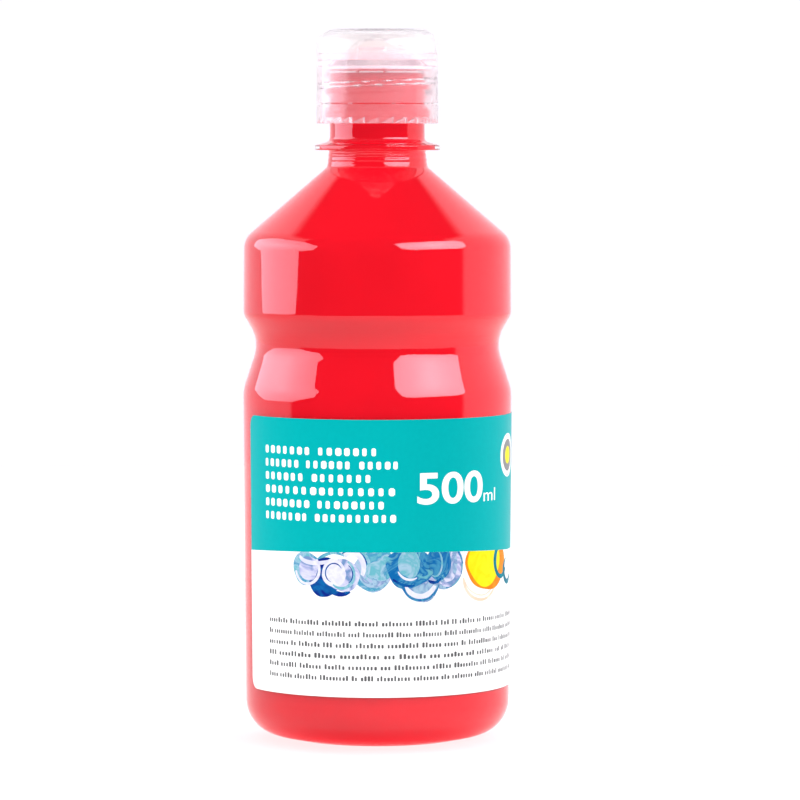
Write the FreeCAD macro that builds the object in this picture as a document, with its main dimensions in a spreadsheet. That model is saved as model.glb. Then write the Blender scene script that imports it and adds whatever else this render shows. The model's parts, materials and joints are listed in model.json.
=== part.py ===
"""A 500 ml squeeze bottle of ready-mixed paint with a flip-top screw cap.

Millimetres, +Z up. The origin is the centre of the foot ring's flat land, which
the bottle stands on. The cap's thumb lip faces -Y and its hinge is at +Y.
"""

import FreeCAD, Part
import math
import os
import re

import Sketcher

# The driving dimensions. Heights are above the surface that the bottle stands on.
DIMENSIONS = {
    # Bottle body: the corners of its outline before rounding
    "push_up": 6.0,
    "dome_radius": 14.0,
    "dome_height": 5.0,
    "foot_inner": 20.6,
    "foot_outer": 23.4,
    "heel_radius": 34.62,
    "heel_height": 2.53,
    "lower_corner_radius": 35.35,
    "lower_corner_height": 91.45,
    "waist_radius": 31.16,
    "waist_height": 104.26,
    "upper_corner_radius": 35.25,
    "upper_corner_height": 111.25,
    "shoulder_radius": 35.1,
    "shoulder_height": 131.17,
    "throat_radius": 13.2,
    "throat_height": 149.94,
    "wall": 0.7,
    "base_wall": 1.1,
    # Bottle body: rounding radii
    "dome_round": 10.0,
    "foot_round": 0.8,
    "heel_round": 9.0,
    "lower_corner_round": 11.0,
    "waist_round": 9.5,
    "upper_corner_round": 3.3,
    "shoulder_round": 5.7,
    "throat_round": 1.2,
    # Neck finish, 28 mm
    "ring_bottom": 154.3,
    "ring_radius": 16.5,
    "ring_rim": 1.3,
    "ring_height": 2.5,
    "ring_round": 0.4,
    "neck_radius": 12.47,
    "bore_radius": 10.87,
    "bore_foot": 151.0,
    "bead_bottom": 163.0,
    "bead_radius": 14.0,
    "bead_rim": 1.5,
    "bead_height": 3.2,
    "finish_top": 175.3,
    "lip_round": 0.4,
    # Thread, the same helix on the neck and in the cap
    "pitch": 3.18,
    "neck_thread_radius": 13.715,
    "neck_thread_low": 167.75,
    "neck_thread_turns": 1.5,
    "neck_thread_root": 2.2,
    "neck_thread_crest": 1.1,
    "cap_thread_radius": 12.78,
    "cap_thread_turns": 1.5,
    "cap_thread_root": 1.6,
    "cap_thread_crest": 0.7,
    "sink": 0.25,
    # Paint
    "paint_gap": 0.03,
    "fill_level": 174.5,
    # Label
    "label_bottom": 14.0,
    "label_top": 85.5,
    "label_gap": 0.03,
    "label_film": 0.09,
    "label_start": -157.3,
    "label_sweep": 328.0,
    "label_corner": 2.0,
    # Tamper band and its bridges
    "band_bottom": 161.3,
    "band_top": 166.3,
    "band_radius": 15.98,
    "slit": 0.3,
    "tooth_height": 1.65,
    "tooth_width": 3.05,
    "tooth_radius": 12.95,
    "tooth_count": 24,
    "bridge_count": 8,
    "bridge_length": 1.0,
    "bridge_depth": 0.5,
    "bridge_inset": 0.3,
    # Cap base
    "cap_radius": 15.95,
    "rim_radius": 15.87,
    "root_radius": 14.5,
    "parting": 179.45,
    "collar_radius": 14.3,
    "collar_wall": 0.9,
    "collar_top": 180.45,
    "deck_top": 177.7,
    "deck_bottom": 176.3,
    "cone_radius": 10.3,
    "cone_wall": 1.2,
    "tip_radius": 4.6,
    "tip_height": 183.9,
    "orifice_radius": 1.35,
    "orifice_depth": 1.2,
    "cap_round": 0.35,
    "cone_round": 1.5,
    "recess_width": 8.0,
    "recess_height": 4.6,
    "recess_floor": 15.2,
    # Liner
    "liner_bottom": 175.32,
    "liner_thickness": 0.95,
    "liner_inner": 9.6,
    "liner_outer": 14.25,
    # Lid
    "lid_seam": 0.08,
    "lid_radius": 15.87,
    "lid_wall": 1.15,
    "lid_top": 186.3,
    "crown_drop": 0.6,
    "lid_round": 4.2,
    "pin_radius": 1.0,
    "pin_bottom": 182.95,
    "lip_width": 7.4,
    "lip_reach": 1.1,
    "lip_height": 1.3,
    # Living hinge
    "hinge_offset": 16.2,
    "hinge_width": 9.0,
    "hinge_film_radius": 0.22,
    "film_weld": 0.04,
    "leaf_height": 0.9,
    "leaf_clearance": 0.06,
}

doc = FreeCAD.newDocument("paint_bottle")
sheet = doc.addObject("Spreadsheet::Sheet", "Dims")
for row, (alias, number) in enumerate(DIMENSIONS.items(), start=1):
    sheet.set(f"A{row}", alias)
    sheet.set(f"B{row}", str(number))
    sheet.setAlias(f"B{row}", alias)
doc.recompute()

UP = FreeCAD.Vector(0, 0, 1)


def bound(text):
    """A FreeCAD expression from sheet names and numbers, such as "bore_radius + wall"."""
    return re.sub(r"[a-z_]+", lambda word: f"Dims.{word.group()}", text)


def value(text):
    """The number that an expression of sheet names stands for now."""
    return float(sheet.evalExpression(bound(text)))


def bind(thing, **sizes):
    """Binds properties of a document object to expressions of sheet names."""
    for name, text in sizes.items():
        thing.setExpression(name, bound(text))


def new_body(label):
    body = doc.addObject("PartDesign::Body", label)
    body.Label = label
    return body


def origin_of(body, role):
    """One of a body's own origin planes or axes."""
    return next(part for part in body.Origin.OriginFeatures if part.Role == role)


def new_sketch(body, name, role="XZ_Plane", offset=None):
    """A sketch on an origin plane, raised along the plane's normal by an expression."""
    sketch = body.newObject("Sketcher::SketchObject", name)
    sketch.AttachmentSupport = [(origin_of(body, role), "")]
    sketch.MapMode = "FlatFace"
    if offset:
        sketch.setExpression(".AttachmentOffset.Base.z", bound(offset))
    return sketch


def hold(sketch, edge, end, axis, text):
    """Holds an edge's end at a distance from the sketch's origin along one axis."""
    if text == "0":
        line = -2 if axis == "X" else -1
        sketch.addConstraint(Sketcher.Constraint("PointOnObject", edge, end, line))
        return
    reach = abs(value(text))
    if text.startswith("-"):
        rule = Sketcher.Constraint(f"Distance{axis}", edge, end, -1, 1, reach)
    else:
        rule = Sketcher.Constraint(f"Distance{axis}", -1, 1, edge, end, reach)
    index = sketch.addConstraint(rule)
    sketch.setExpression(f"Constraints[{index}]", bound(text.lstrip("-")))


def add_dome(sketch, start, end):
    """Adds an arc centred on the Z axis and returns which of its ends is which corner."""
    middle = (start.x**2 + start.y**2 - end.x**2 - end.y**2) / (2 * (start.y - end.y))
    centre = FreeCAD.Vector(0, middle, 0)
    angles = [math.atan2(point.y - middle, point.x) for point in (start, end)]
    circle = Part.Circle(centre, UP, start.distanceToPoint(centre))
    index = sketch.addGeometry(Part.ArcOfCircle(circle, min(angles), max(angles)))
    sketch.addConstraint(Sketcher.Constraint("PointOnObject", index, 3, -2))
    return (1, 2) if angles[0] < angles[1] else (2, 1)


def draw(sketch, corners, domes=()):
    """Draws a closed outline through corners, which are pairs of expressions.

    Its edges are straight, apart from those whose numbers are in domes.
    """
    points = [FreeCAD.Vector(value(x), value(y), 0) for x, y in corners]
    count = len(points)
    ends = []
    for i in range(count):
        start, end = points[i], points[(i + 1) % count]
        if i in domes:
            ends.append(add_dome(sketch, start, end))
        else:
            sketch.addGeometry(Part.LineSegment(start, end))
            ends.append((1, 2))
    for i, (x, y) in enumerate(corners):
        after = (i + 1) % count
        joined = Sketcher.Constraint("Coincident", i, ends[i][1], after, ends[after][0])
        sketch.addConstraint(joined)
        hold(sketch, i, ends[i][0], "X", x)
        hold(sketch, i, ends[i][0], "Y", y)


def rectangle(left, right, bottom, top):
    return [(left, bottom), (right, bottom), (right, top), (left, top)]


def turn(body, name, corners, sweep=None, domes=()):
    """Revolves an outline of (radius, height) corners about the Z axis."""
    sketch = new_sketch(body, f"{name}_outline")
    draw(sketch, corners, domes)
    feature = body.newObject("PartDesign::Revolution", name)
    feature.Profile = sketch
    feature.ReferenceAxis = (sketch, ["V_Axis"])
    feature.Angle = 360
    if sweep:
        bind(feature, Angle=sweep)
    sketch.Visibility = False
    doc.recompute()
    return feature


def circles_at(shape, places):
    """The names of the circular edges about Z at the given (radius, height) places."""
    found = []
    for radius, height in places:
        for number, edge in enumerate(shape.Edges, start=1):
            if edge.Degenerated or not isinstance(edge.Curve, Part.Circle):
                continue
            off = abs(edge.Curve.Radius - value(radius)) + abs(edge.Curve.Center.z - value(height))
            if off < 1e-4:
                found.append(f"Edge{number}")
                break
        else:
            raise RuntimeError(f"no edge at {radius}, {height}")
    return found


def round_off(body, name, places, radius):
    """Rounds the circular edges at the given (radius, height) places."""
    before = body.Tip
    feature = body.newObject("PartDesign::Fillet", name)
    feature.Base = (before, circles_at(before.Shape, places))
    feature.Radius = value(radius)
    bind(feature, Radius=radius)
    doc.recompute()
    return feature


def wind(body, name, profile, turns):
    """Adds a right-handed thread of the given profile about the Z axis."""
    sketch = new_sketch(body, f"{name}_profile")
    draw(sketch, profile)
    feature = body.newObject("PartDesign::AdditiveHelix", name)
    feature.Profile = sketch
    feature.ReferenceAxis = (sketch, ["V_Axis"])
    feature.Mode = "pitch-turns-angle"
    feature.LeftHanded = False
    bind(feature, Pitch="pitch", Turns=turns)
    sketch.Visibility = False
    doc.recompute()
    return feature


def thread_profile(root, crest, root_width, crest_width, low):
    """A trapezoid from root radius to crest radius about the height low."""
    return [
        (root, f"{low} - {root_width} / 2"),
        (crest, f"{low} - {crest_width} / 2"),
        (crest, f"{low} + {crest_width} / 2"),
        (root, f"{low} + {root_width} / 2"),
    ]


def repeat_around(body, name, feature, count):
    """Repeats a feature evenly around the Z axis and makes the result the body's shape."""
    pattern = body.newObject("PartDesign::PolarPattern", name)
    pattern.Originals = [feature]
    pattern.Axis = (origin_of(body, "Z_Axis"), [""])
    pattern.Angle = 360
    bind(pattern, Occurrences=count)
    body.Tip = pattern
    doc.recompute()
    return pattern


def pad(body, name, corners, length, role, offset):
    """Pads an outline along its plane's normal, starting at the given offset."""
    sketch = new_sketch(body, f"{name}_outline", role, offset)
    draw(sketch, corners)
    feature = body.newObject("PartDesign::Pad", name)
    feature.Profile = sketch
    bind(feature, Length=length)
    sketch.Visibility = False
    doc.recompute()
    return feature


# ---------------------------------------------------------------- bottle and its contents


def cavity(gap):
    """The corners of the bottle's inside from its shoulder down to the axis, shrunk by a gap."""
    return [
        (f"shoulder_radius - wall - {gap}", f"shoulder_height - wall / 2 - {gap}"),
        (f"upper_corner_radius - wall - {gap}", "upper_corner_height"),
        (f"waist_radius - wall - {gap}", "waist_height"),
        (f"lower_corner_radius - wall - {gap}", "lower_corner_height"),
        (f"heel_radius - wall - {gap}", f"heel_height + base_wall + {gap}"),
        ("foot_outer", f"base_wall + {gap}"),
        ("foot_inner", f"base_wall + {gap}"),
        ("dome_radius", f"dome_height + base_wall + {gap}"),
        ("0", f"push_up + base_wall + {gap}"),
    ]


def round_cavity(body, name, gap):
    """Rounds the corners that cavity() makes, keeping the wall even."""
    shoulder, upper, waist, lower, heel, foot_out, foot_in, dome, _ = cavity(gap)
    round_off(body, f"{name}_shoulder", [shoulder], "shoulder_round - wall")
    round_off(body, f"{name}_upper_corner", [upper], "upper_corner_round - wall")
    round_off(body, f"{name}_waist", [waist], "waist_round + wall")
    round_off(body, f"{name}_lower_corner", [lower], "lower_corner_round - wall")
    round_off(body, f"{name}_heel", [heel], "heel_round - wall")
    round_off(body, f"{name}_foot", [foot_out, foot_in], "foot_round")
    round_off(body, f"{name}_dome", [dome], "dome_round")


def make_bottle():
    """Blow-moulded PET: waisted body, cone shoulder and a 28 mm threaded neck finish."""
    body = new_body("bottle")
    dome = ("dome_radius", "dome_height")
    foot = [("foot_inner", "0"), ("foot_outer", "0")]
    heel = ("heel_radius", "heel_height")
    lower = ("lower_corner_radius", "lower_corner_height")
    waist = ("waist_radius", "waist_height")
    upper = ("upper_corner_radius", "upper_corner_height")
    shoulder = ("shoulder_radius", "shoulder_height")
    throat = ("throat_radius", "throat_height")
    ring = [("ring_radius", "ring_bottom"), ("ring_radius", "ring_bottom + ring_rim")]
    above_ring = ("neck_radius", "ring_bottom + ring_height")
    bead = [("bead_radius", "bead_bottom"), ("bead_radius", "bead_bottom + bead_rim")]
    lip = [("neck_radius", "finish_top"), ("bore_radius", "finish_top")]
    bore_foot = ("bore_radius", "bore_foot")
    outside = [("0", "push_up"), dome, *foot, heel, lower, waist, upper, shoulder, throat]
    neck = [
        ("throat_radius", "ring_bottom"),
        *ring,
        above_ring,
        ("neck_radius", "bead_bottom"),
        *bead,
        ("neck_radius", "bead_bottom + bead_height"),
        *lip,
        bore_foot,
    ]
    turn(body, "wall_section", outside + neck + cavity("0"))
    round_off(body, "dome_edge", [dome], "dome_round")
    round_off(body, "foot_edges", foot, "foot_round")
    round_off(body, "heel_edge", [heel], "heel_round")
    round_off(body, "lower_corner_edge", [lower], "lower_corner_round")
    round_off(body, "waist_edge", [waist], "waist_round")
    round_off(body, "upper_corner_edge", [upper], "upper_corner_round")
    round_off(body, "shoulder_edge", [shoulder], "shoulder_round")
    round_off(body, "throat_edges", [throat, bore_foot, above_ring], "throat_round")
    round_off(body, "ring_edges", ring, "ring_round")
    round_off(body, "lip_edges", lip, "lip_round")
    round_cavity(body, "cavity", "0")
    thread = thread_profile(
        "neck_radius - sink",
        "neck_thread_radius",
        "neck_thread_root",
        "neck_thread_crest",
        "neck_thread_low",
    )
    wind(body, "neck_thread", thread, "neck_thread_turns")
    return body


def make_paint():
    """The paint itself, a hair smaller than the bottle's inside, filled up into the neck."""
    body = new_body("paint_fill")
    shoulder = cavity("paint_gap")[0]
    corners = [
        ("0", "fill_level"),
        ("bore_radius - paint_gap", "fill_level"),
        ("bore_radius - paint_gap", "bore_foot - paint_gap"),
        *cavity("paint_gap"),
    ]
    turn(body, "contents", corners)
    round_off(body, "throat", [corners[2]], "throat_round")
    round_cavity(body, "contents", "paint_gap")
    return body


def make_label():
    """A film label wrapped around the lower body, which tapers a little towards its heel."""
    body = new_body("label")
    taper = "(lower_corner_radius - heel_radius) / (lower_corner_height - heel_height)"

    def skin(height, stand_off):
        radius = f"heel_radius + ({height} - heel_height) * {taper} + {stand_off}"
        return (radius, height)

    corners = [
        skin("label_bottom", "label_gap"),
        skin("label_bottom", "label_gap + label_film"),
        skin("label_top", "label_gap + label_film"),
        skin("label_top", "label_gap"),
    ]
    wrap = turn(body, "wrap", corners, sweep="label_sweep")
    ends = [
        f"Edge{number}"
        for number, edge in enumerate(wrap.Shape.Edges, start=1)
        if edge.Length < 2 * value("label_film")
    ]
    rounding = body.newObject("PartDesign::Fillet", "rounded_corners")
    rounding.Base = (wrap, ends)
    rounding.Radius = value("label_corner")
    bind(rounding, Radius="label_corner")
    body.Placement = FreeCAD.Placement(
        FreeCAD.Vector(), FreeCAD.Rotation(UP, value("label_start"))
    )
    doc.recompute()
    return body


# ---------------------------------------------------------------- closure


def make_band():
    """The tamper band that stays on the neck, with ratchet teeth under the neck's bead."""
    body = new_body("tamper_band")
    turn(body, "ring", rectangle("root_radius", "band_radius", "band_bottom", "band_top"))
    wedge = [
        ("-tooth_width / 2", "band_bottom"),
        ("tooth_width / 2", "band_bottom"),
        ("tooth_width / 2", "band_bottom + tooth_height"),
    ]
    depth = "root_radius - tooth_radius + sink"
    tooth = pad(body, "tooth", wedge, depth, "XZ_Plane", "tooth_radius")
    repeat_around(body, "teeth", tooth, "tooth_count")
    return body


def make_bridges():
    """The thin bridges that join the tamper band to the cap's skirt until first opening."""
    count = int(value("bridge_count"))
    corner = FreeCAD.Vector(
        value("root_radius + bridge_inset"), -value("bridge_length / 2"), value("band_top")
    )
    posts = []
    for i in range(count):
        post = doc.addObject("Part::Box", f"bridge_{i + 1}")
        bind(post, Length="bridge_depth", Width="bridge_length", Height="slit")
        turned = FreeCAD.Rotation(UP, 360 * (i + 0.5) / count)
        post.Placement = FreeCAD.Placement(turned.multVec(corner), turned)
        posts.append(post)
    group = doc.addObject("Part::Compound", "band_bridges")
    group.Label = "band_bridges"
    group.Links = posts
    doc.recompute()
    return group


def make_liner():
    """The soft sealing ring between the neck's lip and the cap's deck."""
    body = new_body("liner")
    top = "liner_bottom + liner_thickness"
    turn(body, "washer", rectangle("liner_inner", "liner_outer", "liner_bottom", top))
    return body


def make_cap_base():
    """The threaded skirt, its deck and the spout cone with the pouring hole."""
    body = new_body("cap_base")
    skirt_bottom = "band_top + slit"
    bore_top = "tip_height - orifice_depth"
    collar_inner = "collar_radius - collar_wall"
    tip = ("tip_radius", "tip_height")
    cone_foot = ("cone_radius", "deck_top")
    corners = [
        ("cap_radius", skirt_bottom),
        ("rim_radius", "parting"),
        ("collar_radius", "parting"),
        ("collar_radius", "collar_top"),
        (collar_inner, "collar_top"),
        (collar_inner, "deck_top"),
        cone_foot,
        tip,
        ("orifice_radius", "tip_height"),
        ("orifice_radius", bore_top),
        ("tip_radius - cone_wall", bore_top),
        ("cone_radius - cone_wall", "deck_bottom"),
        ("root_radius", "deck_bottom"),
        ("root_radius", skirt_bottom),
    ]
    turn(body, "shell", corners)
    round_off(body, "collar_edges", corners[3:5], "cap_round")
    round_off(body, "cone_edges", [cone_foot], "cone_round")
    round_off(body, "tip_edge", [tip], "cap_round * 2")
    thread = thread_profile(
        "root_radius + sink",
        "cap_thread_radius",
        "cap_thread_root",
        "cap_thread_crest",
        "neck_thread_low + pitch / 2",
    )
    wind(body, "cap_thread", thread, "cap_thread_turns")
    sketch = new_sketch(body, "thumb_recess_outline", "XZ_Plane", "recess_floor")
    width = "recess_width / 2"
    draw(sketch, rectangle(f"-{width}", width, "parting - recess_height", "parting + slit"))
    recess = body.newObject("PartDesign::Pocket", "thumb_recess")
    recess.Profile = sketch
    recess.Reversed = True
    bind(recess, Length="cap_radius - recess_floor + slit")
    doc.recompute()
    half = "hinge_width / 2"
    leaf = rectangle(f"-{half}", half, "rim_radius - collar_wall", "hinge_offset")
    top = "parting + lid_seam / 2 - hinge_film_radius + film_weld"
    pad(body, "base_leaf", leaf, "leaf_height", "XY_Plane", f"{top} - leaf_height")
    return body


def make_lid():
    """The domed flip lid with its plug pin and thumb lip."""
    body = new_body("lid")
    bottom = "parting + lid_seam"
    shelf = "lid_top - lid_wall"
    outer = ("lid_radius", "lid_top - crown_drop")
    inner = ("lid_radius - lid_wall", f"{shelf} - crown_drop")
    pin = [("pin_radius", shelf), ("pin_radius", "pin_bottom")]
    corners = [
        ("lid_radius", bottom),
        outer,
        ("0", "lid_top"),
        ("0", "pin_bottom"),
        pin[1],
        pin[0],
        inner,
        ("lid_radius - lid_wall", bottom),
    ]
    turn(body, "shell", corners, domes=(corners.index(outer), corners.index(pin[0])))
    round_off(body, "outer_edge", [outer], "lid_round")
    round_off(body, "inner_edge", [inner], "lid_round - lid_wall")
    round_off(body, "pin_tip", [pin[1]], "cap_round")
    half = "lip_width / 2"
    reach = rectangle(f"-{half}", half, "-(lid_radius + lip_reach)", "-(lid_radius - lid_wall / 2)")
    pad(body, "thumb_lip", reach, "lip_height", "XY_Plane", bottom)
    half = "hinge_width / 2"
    edge = "hinge_offset - hinge_film_radius - leaf_clearance"
    leaf = rectangle(f"-{half}", half, "lid_radius - lid_wall / 2", edge)
    pad(body, "lid_leaf", leaf, "leaf_height", "XY_Plane", f"{bottom} + leaf_clearance")
    return body


def make_hinge_film():
    """The thin web that the lid bends about, moulded onto the top of the cap's leaf."""
    film = doc.addObject("Part::Cylinder", "hinge_film")
    film.Label = "hinge_film"
    bind(film, Radius="hinge_film_radius", Height="hinge_width")
    start = FreeCAD.Vector(
        -value("hinge_width / 2"), value("hinge_offset"), value("parting + lid_seam / 2")
    )
    along_x = FreeCAD.Rotation(FreeCAD.Vector(0, 1, 0), 90)
    film.Placement = FreeCAD.Placement(start, along_x)
    doc.recompute()
    return film


parts = [
    make_bottle(),
    make_paint(),
    make_label(),
    make_band(),
    make_bridges(),
    make_liner(),
    make_cap_base(),
    make_lid(),
    make_hinge_film(),
]
doc.recompute()

for thing in doc.Objects:
    if "Invalid" in thing.State or "Error" in thing.State:
        raise RuntimeError(f"{thing.Label} failed: {thing.State}")
for part in parts:
    if part.Shape.isNull() or not part.Shape.isValid():
        raise RuntimeError(f"{part.Label} has no valid shape")

os.makedirs("parts", exist_ok=True)
for part in parts:
    part.Shape.exportStep(f"parts/{part.Label}.step")
    solids = len(part.Shape.Solids)
    print(f"{part.Label}: {solids} solid(s), {part.Shape.Volume / 1000:.3f} cm3")
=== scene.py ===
import json
import math
import random

import bmesh
import bpy
from mathutils import Matrix, Vector, noise


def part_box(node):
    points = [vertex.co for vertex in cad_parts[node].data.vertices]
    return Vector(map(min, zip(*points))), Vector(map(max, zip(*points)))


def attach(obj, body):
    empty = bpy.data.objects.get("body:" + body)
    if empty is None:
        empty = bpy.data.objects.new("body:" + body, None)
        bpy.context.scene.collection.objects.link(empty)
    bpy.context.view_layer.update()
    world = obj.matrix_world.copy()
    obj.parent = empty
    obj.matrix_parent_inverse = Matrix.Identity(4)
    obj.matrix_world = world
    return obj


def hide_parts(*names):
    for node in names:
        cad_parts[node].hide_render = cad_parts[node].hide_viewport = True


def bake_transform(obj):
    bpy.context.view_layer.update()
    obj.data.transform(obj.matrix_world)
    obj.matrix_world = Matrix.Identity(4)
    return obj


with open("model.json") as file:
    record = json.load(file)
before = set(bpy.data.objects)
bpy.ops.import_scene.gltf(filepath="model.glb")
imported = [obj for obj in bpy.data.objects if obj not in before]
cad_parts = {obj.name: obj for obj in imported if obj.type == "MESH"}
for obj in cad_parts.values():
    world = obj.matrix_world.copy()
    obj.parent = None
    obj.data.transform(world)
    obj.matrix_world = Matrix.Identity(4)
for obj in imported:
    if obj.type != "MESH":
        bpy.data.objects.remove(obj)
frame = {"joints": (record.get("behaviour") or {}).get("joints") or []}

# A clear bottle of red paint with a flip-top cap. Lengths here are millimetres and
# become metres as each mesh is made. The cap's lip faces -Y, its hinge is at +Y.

MM = 0.001
FULL_TURN = 2 * math.pi
FRONT = -math.pi / 2
BACK = math.pi / 2

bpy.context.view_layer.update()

CAMERA_AZIMUTH = math.radians(5.4)

# ---- sizes taken from the frame


def low_high(node, axis):
    """The lowest and highest coordinate of a CAD node along an axis, in millimetres."""
    low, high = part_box(node)
    return low[axis] / MM, high[axis] / MM


def half_width(node):
    low, high = low_high(node, 0)
    return (high - low) / 2


FINISH_TOP = low_high("bottle", 2)[1]
FILL_LEVEL = low_high("paint_fill", 2)[1]
LABEL_BOTTOM, LABEL_TOP = low_high("label", 2)
BAND_BOTTOM, BAND_TOP = low_high("tamper_band", 2)
BAND_RADIUS = half_width("tamper_band")
SKIRT_BOTTOM, TIP_HEIGHT = low_high("cap_base", 2)
CAP_RADIUS = half_width("cap_base")
LINER_BOTTOM, LINER_TOP = low_high("liner", 2)
LINER_OUTER = half_width("liner")
LID_BOTTOM, LID_TOP = low_high("lid", 2)
LID_RADIUS = half_width("lid")
PARTING = LID_BOTTOM - 0.08
HINGE_AXIS = next(j for j in frame["joints"] if j["name"] == "lid_flip")["pos_m"]
HINGE_Y, HINGE_Z = HINGE_AXIS[1] / MM, HINGE_AXIS[2] / MM

# The threads of neck and cap, each a root and a crest radius
PITCH = 3.18
THREAD_TURNS = 1.5
THREAD_FADE = 0.07
NECK_THREAD_LOW = 167.75
NECK_RADIUS, NECK_CREST = 12.47, 13.715
CAP_ROOT, CAP_CREST = 14.5, 12.78

BORE_RADIUS = 10.87
WALL = 0.7
BASE_WALL = 1.1

# The body's taper between its heel and its lower corner, which the label follows
HEEL = (34.62, 2.53)
LOWER_CORNER = (35.35, 91.45)


def body_radius(height):
    share = (height - HEEL[1]) / (LOWER_CORNER[1] - HEEL[1])
    return HEEL[0] + share * (LOWER_CORNER[0] - HEEL[0])


# ---- mesh helpers


def smoothstep(low, high, x):
    t = min(max((x - low) / (high - low), 0.0), 1.0)
    return t * t * (3 - 2 * t)


def window(x, low, high, soft):
    """1 between low and high, falling to 0 over a soft margin outside each."""
    return smoothstep(low - soft, low, x) * (1 - smoothstep(high, high + soft, x))


def away(angle, centre):
    """The signed angle from a centre direction."""
    return (angle - centre + math.pi) % FULL_TURN - math.pi


def arc(before, corner, after, radius):
    """The points of a rounding between two straight runs."""
    corner = Vector(corner)
    to_before = (Vector(before) - corner).normalized()
    to_after = (Vector(after) - corner).normalized()
    half = to_before.angle(to_after) / 2
    reach = radius / math.tan(half)
    centre = corner + (to_before + to_after).normalized() * (radius / math.sin(half))
    start = corner + to_before * reach - centre
    end = corner + to_after * reach - centre
    turn = math.pi - 2 * half
    steps = max(3, math.ceil(math.degrees(turn) / 7))
    points = []
    for i in range(steps + 1):
        t = i / steps
        mixed = start * math.sin((1 - t) * turn) + end * math.sin(t * turn)
        points.append(tuple(centre + mixed / math.sin(turn)))
    return points


def rounded(corners, closed=False):
    """A polyline through (radius, height, rounding) corners with its corners rounded."""
    count = len(corners)
    points = []
    for i, (r, z, rounding) in enumerate(corners):
        at_end = not closed and i in (0, count - 1)
        if at_end or rounding == 0:
            points.append((r, z))
        else:
            before, after = corners[i - 1][:2], corners[(i + 1) % count][:2]
            points += arc(before, (r, z), after, rounding)
    return points


def divide(points, step, closed=False):
    """Adds points along the runs: close to each end, and no further apart than step allows."""
    ends = points + points[:1] if closed else points
    out = []
    for a, b in zip(ends, ends[1:]):
        a, b = Vector(a), Vector(b)
        length = (b - a).length
        spacing = step(*((a + b) / 2))
        shares = {0.0}
        if length > 1.2:
            shares |= {0.2 / length, 1 - 0.2 / length}
        count = math.ceil(length / spacing)
        shares |= {i / count for i in range(count)}
        kept = []
        for share in sorted(shares):
            if not kept or (share - kept[-1]) * length > 0.04:
                kept.append(share)
        out += [tuple(a.lerp(b, share)) for share in kept]
    if not closed:
        out.append(points[-1])
    return out


def lathe(name, outline, segments, closed=False, shape=None):
    """Spins an outline of (radius, height) points about Z; shape may move a point's radius."""
    mesh = bmesh.new()
    rows = []
    for radius, height in outline:
        if radius < 1e-6:
            rows.append([mesh.verts.new((0, 0, height * MM))])
            continue
        ring = []
        for i in range(segments):
            angle = FULL_TURN * i / segments
            r = shape(radius, height, angle) if shape else radius
            place = (r * math.cos(angle) * MM, r * math.sin(angle) * MM, height * MM)
            ring.append(mesh.verts.new(place))
        rows.append(ring)
    following = rows[1:] + rows[:1] if closed else rows[1:]
    for one, two in zip(rows, following):
        for i in range(segments):
            j = (i + 1) % segments
            if len(one) == 1:
                mesh.faces.new((one[0], two[i], two[j]))
            elif len(two) == 1:
                mesh.faces.new((one[i], two[0], one[j]))
            else:
                mesh.faces.new((one[i], two[i], two[j], one[j]))
    return finish_mesh(name, mesh)


def in_scene(name, data):
    """An object that holds some data, in the scene."""
    holder = bpy.data.objects.new(name, data)
    bpy.context.scene.collection.objects.link(holder)
    return holder


def finish_mesh(name, mesh):
    """Makes a smooth-shaded object of a bmesh, with its normals outward."""
    bmesh.ops.recalc_face_normals(mesh, faces=mesh.faces[:])
    for face in mesh.faces:
        face.smooth = True
    for edge in mesh.edges:
        if edge.is_manifold and edge.calc_face_angle() > math.radians(35):
            edge.smooth = False
    data = bpy.data.meshes.new(name)
    mesh.to_mesh(data)
    mesh.free()
    return in_scene(name, data)


def cut_corners(left, right, low, high, cut_x, cut_y):
    """The outline of a rectangle with its corners cut off, anticlockwise."""
    points = []
    for x, y, inward_x, inward_y in (
        (left, low, 1, 1), (right, low, -1, 1), (right, high, -1, -1), (left, high, 1, -1)
    ):
        pair = [(x, y + inward_y * cut_y, 0), (x + inward_x * cut_x, y, 0)]
        points += pair if inward_x == inward_y else pair[::-1]
    return points


def thread_height(angle, height, low, root, crest):
    """How much of the thread's depth stands at a place: 0 off the thread, 1 on its crest."""
    most = 0.0
    for lap in range(math.ceil(THREAD_TURNS) + 1):
        turns = (angle % FULL_TURN) / FULL_TURN + lap
        if turns > THREAD_TURNS:
            break
        off = abs(height - low - PITCH * turns)
        rise = 1 - smoothstep(crest / 2, root / 2, off)
        rise *= smoothstep(0, THREAD_FADE, turns)
        rise *= 1 - smoothstep(THREAD_TURNS - THREAD_FADE, THREAD_TURNS, turns)
        most = max(most, rise)
    return most


# ---- materials


class Tree:
    """A node tree, with short calls for making and joining its nodes."""

    def __init__(self, tree):
        self.tree = tree

    def add(self, kind, **settings):
        node = self.tree.nodes.new(kind)
        for key, setting in settings.items():
            setattr(node, key, setting)
        return node

    def join(self, source, target):
        self.tree.links.new(source, target)

    def levels(self, source, low, high, start=0, end=1, kind="LINEAR"):
        """Maps a value from between start and end to between low and high."""
        node = self.add("ShaderNodeMapRange", interpolation_type=kind)
        for key, setting in (
            ("From Min", start), ("From Max", end), ("To Min", low), ("To Max", high)
        ):
            node.inputs[key].default_value = setting
        self.join(source, node.inputs["Value"])
        return node.outputs["Result"]

    def height_of(self, place):
        parts = self.add("ShaderNodeSeparateXYZ")
        self.join(place, parts.inputs["Vector"])
        return parts.outputs["Z"]


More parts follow.
